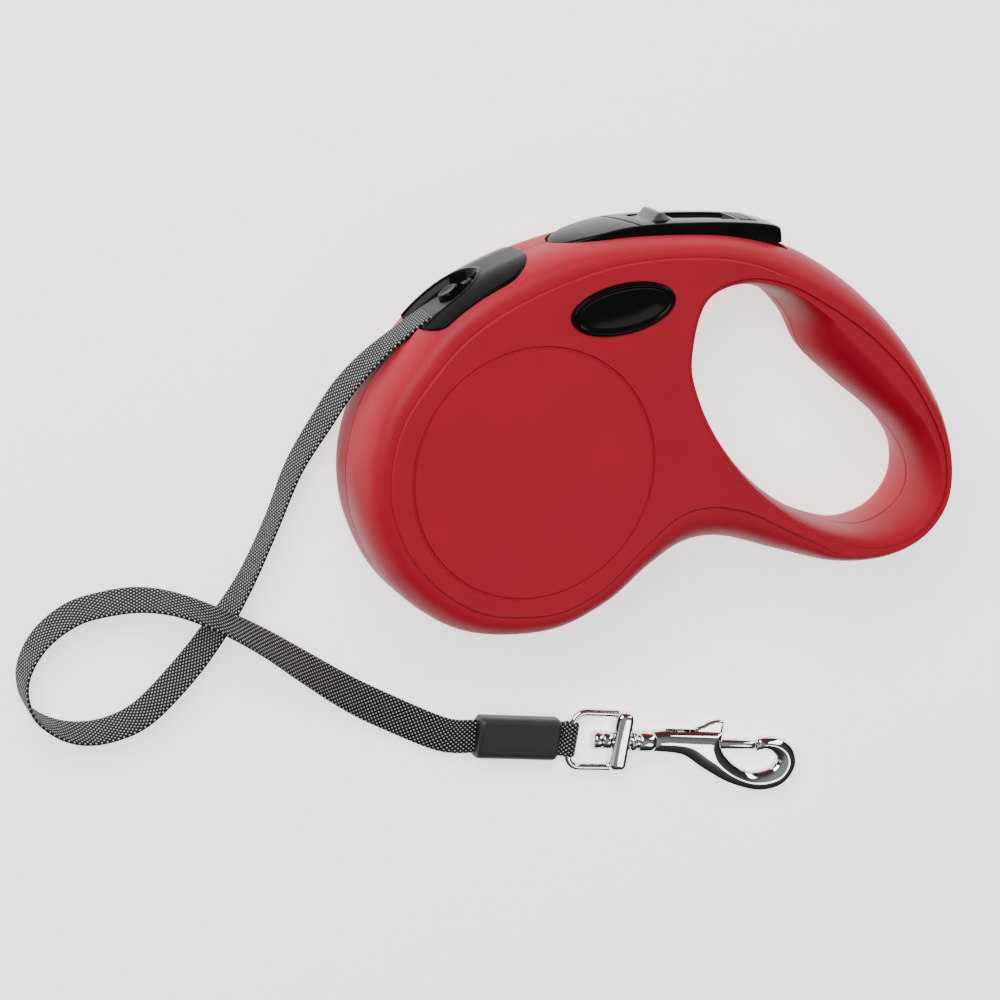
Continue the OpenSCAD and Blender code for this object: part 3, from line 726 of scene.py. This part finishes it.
line4 = curve([LEAD_IN] + ROUTE, 8, False)[8:]
line, lean = line4[:, :3], np.radians(line4[:, 3])
along = np.gradient(line, axis=0)
along /= np.linalg.norm(along, axis=1)[:, None]
level = np.stack([-along[:, 1], along[:, 0], np.zeros(len(line))], 1)
level /= np.linalg.norm(level, axis=1)[:, None]
rise = np.cross(along, level)
side = level * np.cos(lean)[:, None] + rise * np.sin(lean)[:, None]
upv = np.cross(along, side)
tape = ribbon("leash_tape", line, side, upv, TAPE_WIDE, 1.0, ["free_tape"])

# The tape's end, sewn back round the eye's bar.
bar, rc = -18.0, 1.75
loop = [(x, 0.56) for x in np.linspace(SLEEVE_X[0] + 0.3, bar - 3.4, 14)]
loop += [(bar - 2.6, 0.68), (bar - 1.9, 0.95), (bar - 1.35, 1.3)]
loop += [(bar + rc * math.cos(a), rc * math.sin(a)) for a in np.linspace(2.2, -2.2, 22)]
loop += [(bar - 1.35, -1.3), (bar - 1.9, -0.95), (bar - 2.6, -0.68)]
loop += [(x, -0.56) for x in np.linspace(bar - 3.4, SLEEVE_X[0] + 0.3, 14)]
lp3 = on_hook([(x, 0, z) for x, z in loop])
t3 = np.gradient(np.array([(x, 0, z) for x, z in loop]), axis=0)
t3 /= np.linalg.norm(t3, axis=1)[:, None]
u3 = np.cross(t3, (0, 1, 0))


def turn(v):
    """Hook-frame directions to drum directions."""
    v = np.array(v, float)
    return np.stack([v[:, 0] * hook_c - v[:, 1] * hook_s, v[:, 0] * hook_s + v[:, 1] * hook_c, v[:, 2]], 1)


end_loop = ribbon("sewn_end", lp3, turn(np.tile((0, 1, 0), (len(loop), 1))), turn(u3), TAPE_WIDE, 0.96,
                  ["end_loop"])


def rounded_ring(x, half, r, k):
    """A rounded rectangle across the hook's line at x, with k steps round each corner."""
    ring = []
    for qy, qz, a0 in ((1, 1, 0), (-1, 1, 90), (-1, -1, 180), (1, -1, 270)):
        for j in range(k + 1):
            t = math.radians(a0 + 90 * j / k)
            ring.append((x, qy * (half[0] - r) + r * math.cos(t),
                         qz * (half[1] - r) + r * math.sin(t)))
    return on_hook(ring)


# ---------------------------------------------------------------- rubber sleeve
rings = []
SLEEVE_END = [(0, 1.5), (0.05, 1.0), (0.25, 0.55), (0.6, 0.2), (1.2, 0.03), (2.2, 0)]
sleeve_x = [(SLEEVE_X[0] + x, g) for x, g in SLEEVE_END] + [(-35.2, 0.04)]
sleeve_x += [(SLEEVE_X[1] - x, g) for x, g in reversed(SLEEVE_END)]
for x, g in sleeve_x:
    a, b = 6.3 - g * 0.8, 3.4 - g * 0.8
    rings.append(rounded_ring(x, (a, b), min(2.3, b - 0.1), 6))
v, f = loft(rings)
sleeve = piece("rubber_sleeve", v, f, RUBBER, "casing", "sleeve_rubber", ["crimp_sleeve"], angle=60)


# ---------------------------------------------------------------- swivel eye, post, hook and bolt
def revolve(profile, n=40):
    """A turned shape on the hook's line, from (x, radius) pairs."""
    turns = np.linspace(0, 2 * math.pi, n, endpoint=False)
    return loft([on_hook([(x, r * math.cos(t), r * math.sin(t)) for t in turns]) for x, r in profile])


def merge(*parts):
    """Several (verts, faces) as one."""
    v, f = [], []
    for pv, pf in parts:
        s = len(v)
        v.extend([tuple(p) for p in pv])
        f.extend([[i + s for i in face] for face in pf])
    return v, f


def tube(path, r, n=20):
    """A round wire along a path in the hook's frame."""
    path = np.array(path, float)
    t = np.gradient(path, axis=0)
    t /= np.linalg.norm(t, axis=1)[:, None]
    rings = []
    for p, d in zip(path, t):
        a = np.cross(d, (0, 0, 1))
        b = np.cross(a, d)
        rings.append(on_hook([p + r * (math.cos(q) * a + math.sin(q) * b)
                              for q in np.linspace(0, 2 * math.pi, n, endpoint=False)]))
    return loft(rings)


def rounded_box(x0, x1, half, r, k):
    """A box with rounded edges on the hook's line, as rounded rings along x."""
    angles = [math.radians(90 * i / k) for i in range(k + 1)]
    ends = [(x0 + r * (1 - math.sin(a)), r * (1 - math.cos(a))) for a in reversed(angles)]
    ends += [(x0 + x1 - x, g) for x, g in reversed(ends)]
    return loft([rounded_ring(x, (half[0] - g, half[1] - g), max(r - g * 0.6, 0.15), k)
                 for x, g in ends])


arm = [(-3.8, 8.3, 0), (-9, 8.35, 0), (-13.5, 8.4, 0)]
arm += [(-14 - 4 * math.sin(a), 4.4 + 4 * math.cos(a), 0) for a in np.linspace(0.05, math.pi / 2 - 0.02, 12)]
arm += [(-18, y, 0) for y in np.linspace(4.0, -4.0, 9)]
arm += [(-14 - 4 * math.cos(a), -4.4 - 4 * math.sin(a), 0) for a in np.linspace(0.02, math.pi / 2 - 0.05, 12)]
arm += [(-13.5, -8.4, 0), (-9, -8.35, 0), (-3.8, -8.3, 0)]
v, f = merge(tube(arm, 1.2), rounded_box(-4.6, 1.4, (9.2, 2.9), 2.1, 7))
eye = piece("eye_ring", v, f, CHROME, "eye", "chrome", ["swivel_eye"], angle=50)
v, f = revolve([(-10.8, 0.02), (-10.8, 2.2), (-10.65, 2.6), (-10.35, 2.82), (-9.9, 2.9), (-8.6, 2.9),
                (-8.35, 2.8), (-8.25, 2.5), (-8.2, 2.3), (-7.9, 2.3), (-7.8, 2.55), (-7.6, 2.7), (-5.4, 2.7),
                (-5.1, 2.55), (-4.97, 2.0), (1.75, 2.0), (1.75, 0.02)])
post = piece("swivel_rivet", v, f, CHROME, "hook", "chrome", ["swivel_post"], angle=40)


def pillow(outline, half, round_r, step, name, body, nodes, cutters=(), x_parts=()):
    """A cast piece: an outline whose faces swell from its edge as a quarter circle."""
    p = np.array(outline, float)
    n = normals2(p)
    if not inside([p[0] + n[0] * 0.05], p)[0]:
        n = -n
    inner = []
    for d in (0.05, 0.2, 0.45, 0.8, 1.25, 1.8, 2.4):
        if d < round_r:
            q = p + n * d
            inner += [tuple(x) for x, dd in zip(q, distance(q, p)) if dd > 0.9 * d]
    lo, hi = p.min(0), p.max(0)
    grid = np.array([(x, y) for x in np.arange(lo[0], hi[0], step) for y in np.arange(lo[1], hi[1], step)])
    inner += [tuple(x) for x in grid[inside(grid, p) & (distance(grid, p) > min(round_r, 1.8))]]
    v, tri = fill([p], [], [x for x, ok2 in zip(inner, inside(inner, p)) if ok2])
    d = distance(v, p)
    z = half * np.sqrt(np.clip(1 - (1 - np.minimum(d / round_r, 1)) ** 2, 0, 1))
    z[d < 1e-5] = 0
    verts = np.vstack([on_hook(np.column_stack([v, z])), on_hook(np.column_stack([v, -z]))])
    faces = tri.tolist() + (tri[:, ::-1] + len(v)).tolist()
    o = piece(name, *merge((verts, faces), *x_parts), CHROME, None, None, flat=True)
    if cutters:
        cut(o, cutters)
        o.data.materials.clear()
        o.data.materials.append(CHROME)
    smooth(o, 50)
    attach(o, body)
    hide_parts(*nodes)
    return o


def distance(q, p):
    """Distance of points q from the closed outline p."""
    q, a = np.array(q, float), np.array(p, float)
    b = np.roll(a, -1, 0)
    best = np.full(len(q), 1e9)
    for s, e in zip(a, b):
        d = e - s
        t = np.clip(((q - s) @ d) / max(d @ d, 1e-12), 0, 1)
        best = np.minimum(best, np.hypot(*(q - s - t[:, None] * d).T))
    return best


BOW_OUT = [(14, -3.7), (20, -4.6), (27, -8.4), (37, -12.9), (47.5, -14.9), (55.5, -12.6), (59, -6.4),
           (57.2, -0.8), (52.5, 2.4), (47, 2.9), (43.7, 2.1)]
BOW_IN = [(43.7, -2), (48, -1.8), (51.3, -3.8), (50.2, -6.8), (44, -8.3), (38, -6.2), (33.8, -2.8),
          (32.3, -0.5)]
low = curve(BOW_OUT, 8, False)
high = curve(BOW_IN, 8, False)
neck_low = [(x, -3.4 - 0.3 * ease((x - 7) / 7)) for x in np.arange(7, 14, 1.0)]
neck_high = [(x, 4.2 - 0.7 * ease((14 - x) / 7)) for x in np.arange(31.2, 7.1, -0.8)]
body_outline = [*neck_low, *[tuple(x) for x in low], (43.7, 1.0), (43.7, 0), (43.7, -1.0),
                *[tuple(x) for x in high], (32, 1.2), (32, 2.4), (32, 3.6), (31.8, 4.0), *neck_high]
collar = revolve([(1.75, 0.02), (1.75, 2.9), (1.85, 3.25), (2.1, 3.4), (2.7, 3.4), (2.95, 3.25),
                  (3.05, 2.75), (3.9, 2.7), (4.0, 3.1), (4.2, 3.4), (4.6, 3.5), (7.6, 3.5), (8.4, 3.4),
                  (9.0, 3.1), (9.3, 0.02)])


def hook_prism(points, z0, z1):
    """prism() in the hook's frame."""
    p = on_hook([(x, y, 0) for x, y in points])[:, :2]
    return prism([tuple(x) for x in p], HOOK_Z + z0, HOOK_Z + z1)


hook = pillow(body_outline, 3.0, 4.6, 0.5, "snap_hook", "hook", ["hook_body"],
              cutters=[hook_prism([(12.5, 0), (34.5, 0), (34.5, 6), (12.5, 6)], -1.4, 1.4)], x_parts=[collar])
tab = [(22.6, 0.2), (31.4, 0.2), (31.75, 3), (31.9, 6.2), (31.5, 7.3), (30.6, 7.65), (29.3, 7.6),
       (28, 7.35), (26.4, 6.7), (25.0, 5.9), (23.6, 5.3), (22.6, 4.9), (22.4, 3.5)]
rod = revolve([(20, 0.02), (20, 1.5), (20.2, 1.7), (40.6, 1.7), (40.7, 1.58), (40.95, 1.58), (41.05, 1.7),
               (42.8, 1.7), (43.15, 1.55), (43.3, 1.2), (43.3, 0.02)], 28)
bolt = pillow(curve(tab, 4), 1.0, 0.9, 0.6, "slide_bolt", "bolt", ["hook_bolt"], x_parts=[rod])


def short_spring(name, node, body):
    """The coil of a node copied as a steel piece of its own, riding on a body."""
    o = bpy.data.objects.new(name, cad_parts[node].data.copy())
    bpy.context.scene.collection.objects.link(o)
    o.matrix_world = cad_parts[node].matrix_world
    o.data.materials.clear()
    o.data.materials.append(STEEL)
    smooth(o, 30)
    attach(o, body)
    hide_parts(node)
    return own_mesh(o)


bolt_coil = short_spring("bolt_coil", "bolt_spring", "hook")
short_spring("press_coil", "button_spring", "casing")

# ---------------------------------------------------------------- inner pieces keep their CAD shapes
PLAIN_TAPE = material("tape_wound", (0.02, 0.02, 0.021), 0.65, grain=(1600, 0.6, 0.0001), spread=0.25)
for finish, names in (
        (STEEL, ("guide_pin", "button_pin", "power_spring", "axle", "axle_washer", "retaining_clip",
                 "casing_screws")),
        (DARK, ("guide_roller", "brake_pawl")),
        (WHITE, ("reel", "reel_cover")),
        (PLAIN_TAPE, ("wound_tape", "inner_tape"))):
    for name in names:
        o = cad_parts[name]
        o.data.materials.clear()
        o.data.materials.append(finish)
        smooth(o, 30)


# ---------------------------------------------------------------- stage
FLOOR_HALF, FLOOR_Z = 3, -0.0002
# Name, place, aim, size and power: metres and watts.
LIGHTS = [
    ("key", (-0.42, 0.70, 0.80), (0, 0, 0), (0.9, 0.5), 16),
    ("side", (-0.95, -0.25, 0.5), (-0.02, 0, 0), (0.3, 0.9), 0.6),
    ("right", (0.85, 0.35, 0.45), (0.05, 0, 0), (0.25, 0.7), 3.5),
    ("above", (0.38, -0.51, 0.84), (0.01, -0.11, 0), (0.34, 0.30), 1.3)]


def stage_and_light():
    """A pale floor, a sky that is brightest overhead, and the lights."""
    me = bpy.data.meshes.new("floor")
    corners = [(x * FLOOR_HALF, y * FLOOR_HALF, FLOOR_Z) for x, y in ((-1, -1), (1, -1), (1, 1), (-1, 1))]
    me.from_pydata(corners, [], [(0, 1, 2, 3)])
    floor = bpy.data.objects.new("floor", me)
    bpy.context.scene.collection.objects.link(floor)
    paper = material("floor", (0.95, 0.95, 0.95), 0.9, grain=(60, 0.01, 0.0001), spread=0.004)
    glow = paper.node_tree.nodes["Principled BSDF"].inputs
    glow["Emission Color"].default_value = (1, 1, 1, 1)
    glow["Emission Strength"].default_value = 1.5
    me.materials.append(paper)
    world = bpy.data.worlds.new("studio")
    world.use_nodes = True
    t = world.node_tree
    coord = t.nodes.new("ShaderNodeTexCoord")
    split = t.nodes.new("ShaderNodeSeparateXYZ")
    ramp = t.nodes.new("ShaderNodeValToRGB")
    e = ramp.color_ramp.elements
    e[0].position, e[0].color = 0.1, (0.04, 0.04, 0.04, 1)
    e[1].position, e[1].color = 0.95, (1, 1, 1, 1)
    dim = ramp.color_ramp.elements.new(0.7)
    dim.color = (0.2, 0.2, 0.21, 1)
    t.links.new(coord.outputs["Generated"], split.inputs["Vector"])
    t.links.new(split.outputs["Z"], ramp.inputs["Fac"])
    t.links.new(ramp.outputs["Color"], t.nodes["Background"].inputs["Color"])
    t.nodes["Background"].inputs["Strength"].default_value = 0.3
    bpy.context.scene.world = world
    for name, spot, aim, size, power in LIGHTS:
        d = bpy.data.lights.new(name, "AREA")
        d.shape, d.size, d.size_y, d.energy = "RECTANGLE", size[0], size[1], power
        o = bpy.data.objects.new(name, d)
        o.location = spot
        o.rotation_euler = (Vector(aim) - Vector(spot)).to_track_quat("-Z", "Y").to_euler()
        bpy.context.scene.collection.objects.link(o)


stage_and_light()
